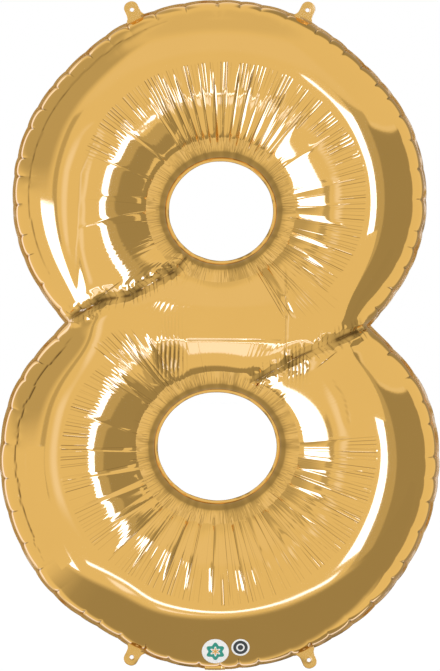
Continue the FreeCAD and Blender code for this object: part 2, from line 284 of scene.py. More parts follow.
def eye_creases(seed, theta, distance, radius, reach, creases, calm, panels):
    """All the wrinkles that run out from one eye. reach is the distance at which the pleats end."""
    rng = np.random.default_rng(seed)
    travel = distance / reach
    field = long_creases(rng, creases, theta, distance, radius, reach)
    fine_amount = 1 - 0.93 * sector_weight(theta, *calm)

    # fine pleats that end at the crest, a few of them strong and most of them faint
    panel, share, left, right = pleat_panels(rng, theta, FINE_PLEATS, 0.28)
    height = 0.16 + 0.66 * rng.uniform(0.0, 1.0, FINE_PLEATS) ** 1.8
    height = height[left] * (0.6 + 0.4 * smooth(-0.7, 0.6, np.sin(theta)))
    start = rng.uniform(0.42, 0.68, FINE_PLEATS)
    flat = sum(sector_weight(theta, *sector) for sector in panels)
    start = np.maximum(np.where(share < 0.5, start[left], start[right]), 0.66 * flat)
    window = smooth(start, start + 0.16 - 0.08 * flat, travel) * (1 - smooth(-2.2, 0.6, distance - reach))
    field += height * (panel - PANEL_MEAN) * window * fine_amount

    # finer, shallower gathers over the whole slope
    panel, _, left, _ = pleat_panels(rng, theta, SLOPE_GATHERS, 0.4)
    height = rng.uniform(0.0, 0.32, SLOPE_GATHERS)[left]
    window = smooth(12.0, 26.0, distance) * (1 - smooth(0.7, 0.95, travel))
    field += height * (panel - PANEL_MEAN) * window * (0.25 + 0.75 * fine_amount) * (1 - 0.92 * flat)

    # short irregular gathers round the collar
    panel, share, left, right = pleat_panels(rng, theta, COLLAR_GATHERS, 0.35)
    height = rng.uniform(0.06, 0.42, COLLAR_GATHERS)[left]
    end = rng.uniform(16.0, 36.0, COLLAR_GATHERS)
    end = np.where(share < 0.5, end[left], end[right])
    window = smooth(4.0, 13.0, distance) * (1 - smooth(end - 8.0, end + 2.0, distance))
    field += height * (panel - PANEL_MEAN) * window

    # the gathered film lies a little lower than the smooth shoulder outside it
    step = 0.3 * smooth(-45, -12, distance - reach) * (1 - smooth(-9, 8, distance - reach))
    return field - step * fine_amount


def rim_places(seed):
    """Polar angles of the seam's small tucks, with each one's strength, reach and bulge."""
    rng = np.random.default_rng(seed)
    places = [0.0]
    while places[-1] < 360.0:
        places.append(places[-1] + rng.uniform(5.0, 9.6))
    places = np.array(places) * 360.0 / places[-1]
    strength = rng.uniform(0.5, 1.2, len(places))
    reach = rng.uniform(7.0, 17.0, len(places))
    bulge = rng.uniform(0.6, 1.3, len(places))
    return places, strength, reach, bulge


def rim_profile(seed, polar):
    """Bulge between tucks, distance from the nearest tuck in degrees, and its strength and reach."""
    places, strength, reach, bulge = rim_places(seed)
    degrees = np.degrees(polar) % 360.0
    right = np.clip(np.searchsorted(places, degrees), 1, len(places) - 1)
    left = right - 1
    share = (degrees - places[left]) / (places[right] - places[left])
    near = np.minimum(degrees - places[left], places[right] - degrees)
    nearest = np.where(share < 0.5, left, right)
    pillow = (4 * share * (1 - share)) ** 0.7
    return pillow * bulge[left], near, strength[nearest], reach[nearest]


def seam_bulge(seed, polar):
    """How far the seam stands out between its tucks, in millimetres."""
    return 1.15 * (rim_profile(seed, polar)[0] - 0.75)


def rim_puckers(seed, polar, distance, radius):
    """Soft pillows and short sharp tucks in the film along the outer seam."""
    pillow, near, strength, reach = rim_profile(seed, polar)
    tuck = strength * np.exp(-np.radians(near) * radius / 1.3) * (1 - smooth(0.45, 1.0, distance / reach))
    return 0.9 * (pillow - 0.7) * np.exp(-distance / 9.0) - 1.1 * tuck


def rim_fold(fold, polar, distance):
    """A fold that runs along the seam on one side of a ring."""
    low, high, inset, depth, width, wander = fold
    degrees = np.degrees(polar) % 360.0
    place = inset + wander * line_noise(degrees, 2.5, 61) + 1.5 * line_noise(degrees, 14.0, 62)
    ends = smooth(low, low + 22, degrees) * (1 - smooth(high - 22, high, degrees))
    return -depth * ends * np.exp(-np.abs(distance - place) / width)


def pinch_line(path, x, z, seed):
    """Distance from a pinch and from its wandering slit, length along it, and a fade at its ends."""
    distance, along, total = path_distance(path, x, z)
    fade = smooth(0, 16, along) * (1 - smooth(total - 12, total, along))
    offset = np.abs(distance + 1.2 * line_noise(along, 22.0, seed))
    return distance, offset, along, fade


def pinch_crumple(path, x, z, seed):
    """A slit between two crumpled ridges along a slanting pinch."""
    distance, offset, along, fade = pinch_line(path, x, z, seed)
    rng = np.random.default_rng(seed)
    slit = -1.3 * np.exp(-offset / 2.6)
    uneven = 1 + 0.5 * value_noise(along, distance, 14.0, seed + 1)
    ridge = 1.5 * np.exp(-((offset - 8.0) / 4.5) ** 2) * uneven
    crumple = 1.0 - np.abs(value_noise(x + 0.4 * z, z - 0.3 * x, 15.0, seed + 2)) * 2
    fine = 1.0 - np.abs(value_noise(x - 0.5 * z, z + 0.4 * x, 8.0, seed + 3)) * 2
    rough = (1.1 * crumple + 0.35 * fine) * (1 - smooth(8.0, 18.0, distance))
    places = np.cumsum(rng.uniform(4.0, 11.0, 60))
    slanted = along + distance * 0.4
    right = np.clip(np.searchsorted(places, slanted), 1, len(places) - 1)
    near = np.minimum(np.abs(slanted - places[right - 1]), np.abs(places[right] - slanted))
    ribs = -0.6 * np.exp(-near / 1.3) * (1 - smooth(8.0, 19.0, distance))
    return fade * (slit + ridge + rough + ribs)


# Soft folds and creases away from the eyes: path, depth, half-width.
SOFT_FOLDS = [
    ([(-150, 268), (-176, 205), (-182, 110), (-176, 20)], 3.2, 7),
    ([(82, 92), (84, 40), (83, -30), (78, -58)], 1.3, 1.8),
    ([(136, -45), (158, -80), (166, -124)], 1.4, 3),
]
# Dents in the bar between the eyes, with upright gathers: x, z, half-width, depth, pitch.
BAR_DENTS = [
    (-62, -30, 17, 3.4, 5.2),
    (97, -34, 14, 3, 4.8),
    (-60, 12, 13, 0.25, 4.4),
]


def dent_gathers(x, z):
    """For each dent in the bar: its weight, its depth, and the height of its upright gathers."""
    for at_x, at_z, half, depth, pitch in BAR_DENTS:
        near = np.exp(-((x - at_x) / half) ** 4 - ((z - at_z) / (1.2 * half)) ** 2)
        share = ((x - at_x) / pitch + 0.15 * value_noise(x, z, 14.0, 19)) % 1.0
        yield near, depth, 4 * share * (1 - share)


def deep_fold_painted_shade(x, z):
    """Painted shade in the deepest folds, from 0 to 1: the slits, and the gathers of the dents."""
    dark = np.zeros_like(x)
    for path, seed in PINCHES:
        _, offset, along, fade = pinch_line(path, x, z, seed)
        broken = smooth(-0.7, 0.1, line_noise(along, 9.0, seed + 4))
        dark = np.maximum(dark, fade * broken * np.exp(-(offset / 2.3) ** 2))
    for near, depth, pillow in dent_gathers(x, z):
        dark = np.maximum(dark, near * min(depth / 3.0, 1.0) * (1 - smooth(0.25, 0.7, pillow)))
    return dark


def place_wrinkles(x, z):
    """Wrinkles that depend on place alone."""
    field = 0.6 * value_noise(x, z, 95.0, 11) + 0.12 * value_noise(x, z, 40.0, 12)
    for path, depth, width in SOFT_FOLDS:
        distance, along, total = path_distance(path, x, z)
        ends = smooth(0, 25, along) * (1 - smooth(total - 25, total, along))
        field = field - depth * ends * np.exp(-np.sqrt(distance ** 2 + (0.5 * width) ** 2) / width)
    for near, depth, pillow in dent_gathers(x, z):
        field = field - near * depth * (1 - 0.33 * pillow)
    # the pressed band across the bar: a shallow trough under a sharp crease
    bar = smooth(-44, -38, x) * (1 - smooth(76, 82, x))
    field = field - bar * (0.42 * np.exp(-((z + 15.0) / 9.0) ** 2) + 0.35 * np.exp(-np.abs(z + 6.0)))
    for path, seed in PINCHES:
        field = field + pinch_crumple(path, x, z, seed)
    return field


# ---- film meshes ----

def row_shares():
    """Rows from eye to outline, closer together at the eye, the crest and the rim."""
    t = np.linspace(0, 1, 4001)
    density = 1.0 + 5.0 * np.exp(-t / 0.02) + 1.5 * np.exp(-((t - 0.09) / 0.07) ** 2)
    density += 2.2 * np.exp(-((t - CREST) / 0.03) ** 2) + 2.0 * np.exp(-((1 - t) / 0.08) ** 2)
    density += 6.0 * np.exp(-(1 - t) / 0.015)
    total = np.concatenate([[0], np.cumsum(density[1:] + density[:-1])])
    return np.interp(np.linspace(0, 1, ROWS + 1), total / total[-1], t)


def ring_borders(ring, eye, turn, left, right, waist_x):
    """Angle about the eye and far end of each column, round the outer arc and then the waist.

    turn is 1 if the arc runs anticlockwise from right to left, seen from the front.
    """
    start = math.atan2(right[1] - ring["z"], right[0])
    end = math.atan2(left[1] - ring["z"], left[0])
    if (end - start) * turn < 0:
        end += FULL_TURN * turn
    angle = start + (end - start) * np.arange(COLUMNS_ARC) / COLUMNS_ARC
    radius = ring_radius(ring, angle, SEAM_LIP)
    far_x = radius * np.cos(angle)
    far_z = ring["z"] + radius * np.sin(angle)
    waist_z = left[1] + (right[1] - left[1]) * (waist_x - left[0]) / (right[0] - left[0])
    far_x = np.concatenate([far_x, waist_x[:-1]])
    far_z = np.concatenate([far_z, waist_z[:-1]])
    return np.arctan2(far_z - eye["z"], far_x - eye["x"]), far_x, far_z


RINGS = (
    (UPPER_RING, UPPER_EYE, 1, UPPER_CREASES, UPPER_SMOOTH, UPPER_PANELS, UPPER_RIM_FOLD),
    (LOWER_RING, LOWER_EYE, -1, LOWER_CREASES, LOWER_SMOOTH, LOWER_PANELS, LOWER_RIM_FOLD),
)


def film_grid(seed_shift):
    """Both rings' grids: plan places, wrinkle heights, and how far the seam bulges out."""
    left, right = waist_corner(-1, SEAM_LIP), waist_corner(1, SEAM_LIP)
    # columns along the waist lie closer together in the middle
    spread = np.tan(0.9 * np.linspace(-1, 1, COLUMNS_WAIST + 1))
    waist_x = 0.5 * (left[0] + right[0]) + 0.5 * (right[0] - left[0]) * spread / math.tan(0.9)
    shares = row_shares()[None, :]
    grids = []
    for ring, eye, turn, creases, calm, panels, fold in RINGS:
        seed = ring["seed"]
        theta, far_x, far_z = ring_borders(ring, eye, turn, left, right, waist_x)
        near = eye_radius(eye, theta, SEAM_LIP)
        near_x = eye["x"] + near * np.cos(theta)
        near_z = eye["z"] + near * np.sin(theta)
        x = near_x[:, None] + (far_x - near_x)[:, None] * shares
        z = near_z[:, None] + (far_z - near_z)[:, None] * shares
        span = np.hypot(far_x - near_x, far_z - near_z)[:, None]
        on_arc = (np.arange(len(theta)) < COLUMNS_ARC)[:, None]
        distance = span * shares
        # a waist column covers half of the way across the bar, so its way is doubled
        way = np.where(on_arc, np.minimum(span, CREST_SPAN), np.minimum(2 * span, TUBE_WIDTH))
        reach = CREST * way + 2.0 * line_noise(np.degrees(theta), 17.0, seed)[:, None]
        angle = theta[:, None] + np.zeros_like(distance)
        radius = near[:, None] + distance
        own_seed = seed + seed_shift
        field = eye_creases(own_seed, angle, distance, radius, reach, creases, calm, panels)
        to_waist = (1 - shares) * span
        field = field * np.where(on_arc, 1.0, smooth(2.0, 26.0, to_waist))
        polar = np.arctan2(z - ring["z"], x)
        inside = ring_inside(ring, x, z, SEAM_LIP)
        rim = rim_puckers(seed, polar, inside, ring["a"]) + rim_fold(fold, polar, inside)
        to_corner = [np.hypot(x - corner[0], z - corner[1]) for corner in (left, right)]
        away = smooth(*CORNER_FADE, np.minimum(*to_corner))
        beyond = ring_inside(LOWER_RING if ring is UPPER_RING else UPPER_RING, x, z, SEAM_LIP)
        edge = (1 - smooth(-14.0, 8.0, beyond)) * away
        out = seam_bulge(seed, polar) * np.exp(-inside / 8.0) * edge
        grids.append((x, z, field * away + rim * edge, out * np.cos(polar), out * np.sin(polar)))
    return grids


def painted_fold_shade(field, x, z):
    """Painted shade at each grid point, from 0 to 1, by how sharply the film is folded inwards there."""
    sharp = np.zeros_like(field)
    for axis in (0, 1):
        across_x = np.roll(x, -1, axis) - np.roll(x, 1, axis)
        across_z = np.roll(z, -1, axis) - np.roll(z, 1, axis)
        step = 0.5 * np.hypot(across_x, across_z)
        bend = 0.5 * (np.roll(field, -1, axis) + np.roll(field, 1, axis)) - field
        sharp = np.maximum(sharp, bend / (step + 0.05))
    sharp[:, :2] = 0
    sharp[:, -2:] = 0
    return np.clip((sharp - FOLD_SHADE_START) / FOLD_SHADE_FULL, 0, 1)


def film_points(grids, side):
    """Points in metres with the painted shade of the folds. side is 1 in front and -1 behind."""
    clouds = []
    for x, z, wrinkles, out_x, out_z in grids:
        height = film_height(x, z, SEAM_LIP)
        nx, ny, nz = film_normal(x, z, SEAM_LIP)
        field = (wrinkles + place_wrinkles(x, z)) * smooth(0.0, 5.0, height)
        y = np.minimum(ny * field - FILM - height, -FILM)
        # painted shade in sharp folds, pinch slits and dent gathers, kept in the fold attribute
        fold = np.maximum(painted_fold_shade(field, x, z), 0.9 * deep_fold_painted_shade(x, z))
        clouds.append(np.stack([
            (x + nx * field + out_x) * MM,
            side * y * MM,
            (z + nz * field + out_z) * MM,
            fold,
        ], -1))
    return clouds


def sheet_mesh(name, clouds, flip):
    """One mesh from the two rings' grids, which share the waist line's points."""
    columns, rows = clouds[0].shape[:2]
    index = [np.arange(columns * rows).reshape(columns, rows)]
    index.append(index[0] + columns * rows)
    # the waist points of the second ring are those of the first, in the same order
    waist = np.arange(COLUMNS_ARC, columns)
    index[1][waist, -1] = index[0][waist, -1]
    index[1][0, -1] = index[0][0, -1]
    faces = []
    for number in (0, 1):
        a = index[number]
        b = np.roll(a, -1, axis=0)
        quads = np.stack([a[:, :-1], b[:, :-1], b[:, 1:], a[:, 1:]], -1).reshape(-1, 4)
        faces.append(quads[:, ::-1] if (number == 1) != flip else quads)
    faces = np.concatenate(faces)
    points = np.concatenate([cloud.reshape(-1, 4) for cloud in clouds])
    used, compact = np.unique(faces, return_inverse=True)
    sheet = quad_mesh(name, points[used][:, :3], compact.reshape(-1, 4))
    # the painted fold shade is stored as the point attribute named fold
    store = sheet.data.attributes.new("fold", "FLOAT", "POINT")
    store.data.foreach_set("value", points[used][:, 3].astype(np.float32))
    return sheet


def quad_mesh(name, points, quads):
    """A smooth mesh object from points in metres and rows of four point numbers."""
    mesh = bpy.data.meshes.new(name)
    mesh.vertices.add(len(points))
    mesh.vertices.foreach_set("co", points.astype(np.float32).ravel())
    mesh.loops.add(quads.size)
    mesh.loops.foreach_set("vertex_index", quads.astype(np.int32).ravel())
    mesh.polygons.add(len(quads))
    mesh.polygons.foreach_set("loop_start", np.arange(0, quads.size, 4, dtype=np.int32))
    mesh.polygons.foreach_set("loop_total", np.full(len(quads), 4, np.int32))
    mesh.update(calc_edges=True)
    mesh.validate()
    mesh.shade_smooth()
    obj = bpy.data.objects.new(name, mesh)
    bpy.context.scene.collection.objects.link(obj)
    return obj


# ---- seams, tabs, tail and marks ----

def closed_grid(name, points, material):
    """A tube of quads from points[row, column] in millimetres, joined up both ways."""
    rows, columns = points.shape[:2]
    index = np.arange(rows * columns).reshape(rows, columns)
    below, beside = np.roll(index, -1, axis=0), np.roll(index, -1, axis=1)
    corner = np.roll(below, -1, axis=1)
    quads = np.stack([index, beside, corner, below], -1).reshape(-1, 4)
    obj = quad_mesh(name, points.reshape(-1, 3) * MM, quads)
    obj.data.materials.append(material)
    return obj


# Rows across a fused seam: inset from its edge and half-thickness.
SEAM_ROWS = [(4.6, 0.16), (3.6, 0.22), (3.3, 0.24), (2.2, 0.2), (1.1, 0.2), (0.25, 0.17), (0.0, 0.08)]
SEAM_LOOSE = 3.3       # ripples grow from this inset to the edge
OUTER_SEAM_COLUMNS = 1500
EYE_SEAM_COLUMNS = 720


def both_sides(rows):
    """Pairs of a place and Y, out over the front and back over the rear."""
    return [(place, -half) for place, half in rows] + [(place, half) for place, half in reversed(rows)]


def outline_row(inset, count):
    """Rows of x, z and degrees round the ring along both outlines, bulging between tucks."""
    places = []
    left, right = waist_corner(-1, inset), waist_corner(1, inset)
    for ring, start_corner, end_corner in ((UPPER_RING, right, left), (LOWER_RING, left, right)):
        start = math.atan2(start_corner[1] - ring["z"], start_corner[0])
        end = math.atan2(end_corner[1] - ring["z"], end_corner[0])
        end += FULL_TURN * (end < start)
        angle = start + (end - start) * np.arange(count) / count
        ends = smooth(0, 0.1, angle - start) * smooth(0, 0.1, end - angle)
        radius = ring_radius(ring, angle, inset) + seam_bulge(ring["seed"], angle) * ends
        x = radius * np.cos(angle)
        z = ring["z"] + radius * np.sin(angle)
        places.append(np.stack([x, z, np.degrees(angle)], -1))
    return np.concatenate(places)


def outer_seam(material):
    """The fused band round the whole figure, rippled towards its edge."""
    rows = []
    for inset, y in both_sides(SEAM_ROWS):
        x, z, degrees = outline_row(inset, OUTER_SEAM_COLUMNS).T
        ripple = 0.75 * line_noise(degrees + x * 0.01, 2.3, 81) + 0.9 * line_noise(degrees, 7.0, 82)
        rows.append(np.stack([x, y + ripple * smooth(SEAM_LOOSE, 0.0, inset) * 0.8, z], -1))
    return closed_grid("outer_seam", np.array(rows), material)


def eye_seam(name, eye, material):
    """The fused band round an eye, with a slightly uneven edge."""
    angle = np.linspace(0, FULL_TURN, EYE_SEAM_COLUMNS, endpoint=False)
    degrees = np.degrees(angle)
    rows = []
    for outset, y in both_sides(SEAM_ROWS):
        radius = eye_radius(eye, angle, outset) + 0.25 * line_noise(degrees, 11.25, 83)
        ripple = 0.35 * line_noise(degrees, 5.625, 84) * smooth(SEAM_LOOSE, 0.0, outset)
        x = eye["x"] + radius * np.cos(angle)
        z = eye["z"] + radius * np.sin(angle)
        rows.append(np.stack([x, y + ripple, z], -1))
    return closed_grid(name, np.array(rows)[:, ::-1], material)


# The middle of each tab's fold line, and the direction outwards from it.
TABS = {
    "upper_left": ((-108.694, 410.317), (-0.4179, 0.9085)),
    "upper_right": ((108.984, 409.824), (0.4315, 0.9021)),
    "lower_left": ((-108.449, -405.855), (-0.4706, -0.8823)),
    "lower_right": ((111.337, -409.206), (0.3803, -0.9248)),
}
TAB_HALF = 9.3
TAB_FLARE = 3.2        # how much wider each side is at the root
TAB_LENGTH = 21.0
TAB_TIP = 8.5          # radius of the tip's corners
TAB_ROOT = -4.6        # the tab starts this far inside the fold
TAB_HOLE = 2.5
TAB_HOLE_AT = 10.0
TAB_COLUMNS = 144
TAB_HALF_THICKNESS = 0.24
# The raised lip round a hole: distance out from its edge and half-thickness.
TAB_LIP = [(0.0, 0.16), (0.15, 0.26), (0.6, 0.5), (1.1, 0.34), (1.6, TAB_HALF_THICKNESS)]
TAB_ROWS = (0.15, 0.3, 0.45, 0.6, 0.75, 0.88, 0.97, 1.0)  # shares of the way from lip to edge
TAB_BLEND = (-1.2, 0.9)  # two distances from the tab's fold line, where points are found but not used


def in_tab(along, across):
    """Whether a place is on a tab: straight sides that flare at the root, and a round tip."""
    half = TAB_HALF + TAB_FLARE * np.exp(-np.maximum(along + 1.3, 0) / 2.4)
    past = np.maximum(along - TAB_LENGTH + TAB_TIP, 0)
    aside = np.maximum(np.abs(across) - half + TAB_TIP, 0)
    return (along > TAB_ROOT) & (np.abs(across) < half) & (np.hypot(past, aside) < TAB_TIP)


def hang_tab(name, fold, normal, material):
    """A thin punched tab that runs on from the seam across its fold line."""
    turn = np.linspace(0, FULL_TURN, TAB_COLUMNS, endpoint=False)
    # the edge's distance from the hole's middle in each direction, found by halving
    low, high = np.full(TAB_COLUMNS, 3.0), np.full(TAB_COLUMNS, 40.0)
    for _ in range(40):
        middle = 0.5 * (low + high)
        inside = in_tab(TAB_HOLE_AT + middle * np.cos(turn), middle * np.sin(turn))
        low, high = np.where(inside, middle, low), np.where(inside, high, middle)
    profile = [(np.full(TAB_COLUMNS, TAB_HOLE + out), half) for out, half in TAB_LIP]
    lip = TAB_HOLE + TAB_LIP[-1][0]
    for share in TAB_ROWS:
        half = TAB_HALF_THICKNESS * (1.0 if share < 1 else 0.5)
        profile.append((lip + (low - lip) * share, half))
    rows = []
    for radius, y in both_sides(profile):
        along = TAB_HOLE_AT + radius * np.cos(turn)
        across = radius * np.sin(turn)
        free = smooth(-1.0, 12.0, along)
        curl = 0.9 * value_noise(along + 7 * fold[0], across, 13.0, 91) * free + 0.0035 * across ** 2 * free
        x = fold[0] + along * normal[0] + across * normal[1]
        z = fold[1] + along * normal[1] - across * normal[0]
        rows.append(np.stack([x, y + curl, z], -1))
    tab = closed_grid("tab_" + name, np.array(rows), material)
    ends = [((fold[0] + at * normal[0]) * MM, 0.0, (fold[1] + at * normal[1]) * MM) for at in TAB_BLEND]
    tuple(ends[0])
    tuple(ends[1])
    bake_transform(tab)
    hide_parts("hang_tab_" + name)
    return tab


TAIL_X = -6.0
TAIL_FOLD_Z = -431.079
TAIL_LENGTH = 58.0
TAIL_SEAM = 4.0
TAIL_ROOT_HALF = 13.0
TAIL_FLARE = 4.0       # how much wider each side is at the mouth
TAIL_PLY_POINTS = 61
TAIL_ANGLE = math.radians(100.0)
TAIL_BEND = 1.6        # half the length of film that turns at the fold
TAIL_TOP = -5.0        # the tail's film starts this far inside the fold


def tail_path(down):
    """Where the tail's middle line runs in Y and Z, and its direction, at a length past the fold."""
    s = np.linspace(TAIL_TOP, TAIL_LENGTH, 4000)
    turn = TAIL_ANGLE * np.clip((s + TAIL_BEND) / (2 * TAIL_BEND), 0, 1)
    step = s[1] - s[0]
    y = np.cumsum(np.sin(turn)) * step
    z = -np.cumsum(np.cos(turn)) * step
    y -= np.interp(TAIL_BEND, s, y) - TAIL_BEND * math.sin(TAIL_ANGLE)
    z -= np.interp(TAIL_BEND, s, z) + TAIL_BEND * math.cos(TAIL_ANGLE)
    return np.interp(down, s, y), np.interp(down, s, z), np.interp(down, s, turn)


def inflation_tail(material):
    """Two plies fused along both sides and open at the mouth, folded back behind the seam."""
    across = np.linspace(-1, 1, TAIL_PLY_POINTS)
    loop = np.concatenate([across, across[-2:0:-1]])
    face = np.concatenate([-np.ones(TAIL_PLY_POINTS), np.ones(TAIL_PLY_POINTS - 2)])
    down = np.concatenate([np.linspace(TAIL_TOP, 4, 32), np.linspace(5, TAIL_LENGTH, 60)])
    rows = []
    for inner in (False, True):
        for s in (down[::-1] if inner else down):
            half = TAIL_ROOT_HALF + TAIL_FLARE * max(s, 0) / TAIL_LENGTH
            open_half = half - TAIL_SEAM
            x = loop * (open_half if inner else half)
            share = np.clip(np.abs(x) / open_half, 0, 1)
            puff = 0.9 * float(smooth(3.0, 24.0, s)) * (1 - share ** 2)
            gather = 0.22 * np.sin(loop * 23 + 2.0 * np.sin(s * 0.11)) * (1 - share)
            gather = gather * float(smooth(TAIL_LENGTH, 20.0, s)) * (s > 0)
            crinkle = 0.25 * value_noise(x + 31.0 * face, np.full_like(x, s), 5.0, 95) * (1 - share)
            crinkle = crinkle * float(smooth(1.0, 8.0, s))
            body = 0.3 + (puff + 0.2 + gather + crinkle) * (share < 1)
            y = face * (np.maximum(body - 0.18, 0.03) if inner else np.maximum(body, 0.28))
            y = np.where(np.abs(loop) > 0.999, 0, y)
            wave = 0.5 * value_noise(x, np.full_like(x, s), 17.0, 96) * float(smooth(4.0, 20.0, s))
            path_y, path_z, turn = tail_path(s)
            off = y + wave
            at_y = path_y + off * np.cos(turn)
            at_z = TAIL_FOLD_Z + path_z + off * np.sin(turn)
            rows.append(np.stack([TAIL_X + x, at_y, at_z], -1))
    tail = closed_grid("tail", np.array(rows), material)
    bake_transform(tail)
    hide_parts("tail_front_ply", "tail_back_ply", "tail_seam_left", "tail_seam_right")
    return tail


INK_LIFTS = (0.16, 0.05)  # the ink's outer and inner face over the film, in millimetres
BEFORE_FILM = -0.3        # a plane in front of the film, in metres


def printed_mark(name, film, x, z, radius, material):
    """A thin layer of ink that follows the film."""
    tree = BVHTree.FromObject(film, bpy.context.evaluated_depsgraph_get())
    turn = np.linspace(0, FULL_TURN, 72, endpoint=False)
    sides = []
    for lift in INK_LIFTS:
        rows = []
        for share in np.linspace(0.02, 1, 22):
            row = []
            for angle in turn:
                at_x = x + radius * share * math.cos(angle)
                at_z = z + radius * share * math.sin(angle)
                before = Vector((at_x * MM, BEFORE_FILM, at_z * MM))
                place, normal, _, _ = tree.ray_cast(before, Vector((0, 1, 0)))
                row.append((place + normal * (lift * MM * (-1 if normal.y > 0 else 1))) / MM)
            rows.append(row)
        sides.append(rows)
    points = np.array(sides[0] + sides[1][::-1], dtype=float)
    mark = closed_grid(name, points[:, ::-1], material)
    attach(mark, "balloon")
    return mark


# ---- materials ----

# Colour of the painted shade in sharp folds and slits.
PAINTED_FOLD_SHADE_COLOUR = (0.15, 0.075, 0.018)
HIGHLIGHT_TINT = (1.0, 0.86, 0.62)


def new_material(name):
    """A new material with its shader."""
    material = bpy.data.materials.new(name)
    material.use_nodes = True
    return material, material.node_tree.nodes["Principled BSDF"]


def set_inputs(material, node, inputs):
    """Gives each input its value, or links it if the value is another node's output."""
    for socket, value in inputs.items():
        if isinstance(value, bpy.types.NodeSocket):
            material.node_tree.links.new(value, node.inputs[socket])
        else:
            node.inputs[socket].default_value = value


def add_node(material, kind, inputs, **settings):
    """Outputs of a new shader node with its settings and inputs."""
    node = material.node_tree.nodes.new("ShaderNode" + kind)
    for setting, value in settings.items():
        setattr(node, setting, value)
    set_inputs(material, node, inputs)
    return node.outputs


def mixed_colour(material, factor, first, second):
    """A colour output that goes from the first to the second with the factor."""
    return add_node(material, "Mix", {"Factor": factor, 6: first, 7: second}, data_type="RGBA")[2]


def foil(name, tint, dull_tint, roughness, scale):
    """Metallised film: a mirror tint that varies a little, with painted shade in sharp folds."""
    material, shader = new_material(name)
    place = add_node(material, "TexCoord", {})["Object"]
    cloud = add_node(material, "TexNoise", {"Vector": place, "Scale": scale, "Detail": 3.0})["Fac"]
    grain = add_node(material, "TexNoise", {"Vector": place, "Scale": 420.0, "Detail": 2.0})["Fac"]
    fold = add_node(material, "Attribute", {}, attribute_name="fold")["Fac"]
    colour = mixed_colour(material, cloud, (*tint, 1), (*dull_tint, 1))
    spread = {"From Min": 0.3, "From Max": 0.7, "To Min": roughness[0], "To Max": roughness[1]}
    set_inputs(material, shader, {
        "Metallic": 1.0,
        "Specular Tint": (*HIGHLIGHT_TINT, 1),
        # the base colour turns to the painted shade colour where the fold attribute is high
        "Base Color": mixed_colour(material, fold, colour, (*PAINTED_FOLD_SHADE_COLOUR, 1)),
        "Roughness": add_node(material, "MapRange", {"Value": cloud, **spread})["Result"],
        "Normal": add_node(material, "Bump", {"Height": grain, "Strength": 0.05, "Distance": 0.0002})[0],
    })
    return material


def clear_film():
    """The clear lining and valve films, a little hazy."""
    material, shader = new_material("clear_film")
    place = add_node(material, "TexCoord", {})["Object"]
    haze = add_node(material, "TexNoise", {"Vector": place, "Scale": 120.0})["Fac"]
    set_inputs(material, shader, {
        "Base Color": (0.95, 0.97, 0.98, 1),
        "Transmission Weight": 0.9,
        "IOR": 1.1,
        "Roughness": add_node(material, "MapRange", {"Value": haze, "To Min": 0.12, "To Max": 0.35})[0],
    })
    return material


def ink(name, x, z, radius, bands, petals):
    """Flat print: bands of colour by distance from the middle, with petals if there are any."""
    material, shader = new_material(name)
    place = add_node(material, "SeparateXYZ", {0: add_node(material, "TexCoord", {})["Object"]})

    def maths(operation, *values):
        return add_node(material, "Math", dict(enumerate(values)), operation=operation)[0]

    dx = maths("SUBTRACT", place["X"], x * MM)
    dz = maths("SUBTRACT", place["Z"], z * MM)
    away = maths("SQRT", maths("ADD", maths("MULTIPLY", dx, dx), maths("MULTIPLY", dz, dz)))
    away = maths("DIVIDE", away, radius * MM)
    if petals:
        lobe = maths("COSINE", maths("MULTIPLY", maths("ARCTAN2", dx, dz), float(petals)))
        away_petal = maths("SUBTRACT", away, maths("MULTIPLY", lobe, 0.1))
        pick = maths("LESS_THAN", away, 0.78)
        plain = maths("MULTIPLY", away, maths("SUBTRACT", 1.0, pick))
        away = maths("ADD", plain, maths("MULTIPLY", away_petal, pick))
    ramp = material.node_tree.nodes.new("ShaderNodeValToRGB")
    ramp.color_ramp.interpolation = "CONSTANT"
    stops = ramp.color_ramp.elements
    for number, (at, colour) in enumerate(bands):
        stop = stops[number] if number < 2 else stops.new(at)
        stop.position = at
        stop.color = (*colour, 1)
    set_inputs(material, ramp, {"Fac": away})
    set_inputs(material, shader, {"Roughness": 0.35, "Base Color": ramp.outputs["Color"]})
    return material


# ---- studio ----

# Bright cards are cooler than the rest, so their reflections in gold turn pale, not yellow.
COOL = np.array((0.16, 0.27, 1.0))


def card(name, points, radiance):
    """A card from points[row, column] in metres with a radiance for each, seen in reflections."""
    rows, columns = radiance.shape
    index = np.arange(rows * columns).reshape(rows, columns)
    quads = np.stack([index[:-1, :-1], index[:-1, 1:], index[1:, 1:], index[1:, :-1]], -1).reshape(-1, 4)
    obj = quad_mesh(name, points.reshape(-1, 3), quads)
    grey = radiance.ravel()[:, None]
    colour = np.minimum(grey, 1) + np.maximum(grey - 1, 0) * COOL
    colour = np.concatenate([colour, np.ones((len(colour), 1))], axis=1)
    store = obj.data.attributes.new("radiance", "FLOAT_COLOR", "POINT")
    store.data.foreach_set("color", colour.astype(np.float32).ravel())
    material, shader = new_material(name)
    nodes = material.node_tree.nodes
    nodes.remove(shader)
    own = add_node(material, "Attribute", {}, attribute_name="radiance")["Color"]
    glow = add_node(material, "Emission", {"Color": own})["Emission"]
    set_inputs(material, nodes["Material Output"], {"Surface": glow})
    material.cycles.emission_sampling = "NONE"
    obj.data.materials.append(material)
    for ray in ("camera", "diffuse", "shadow", "transmission"):
        setattr(obj, "visible_" + ray, False)


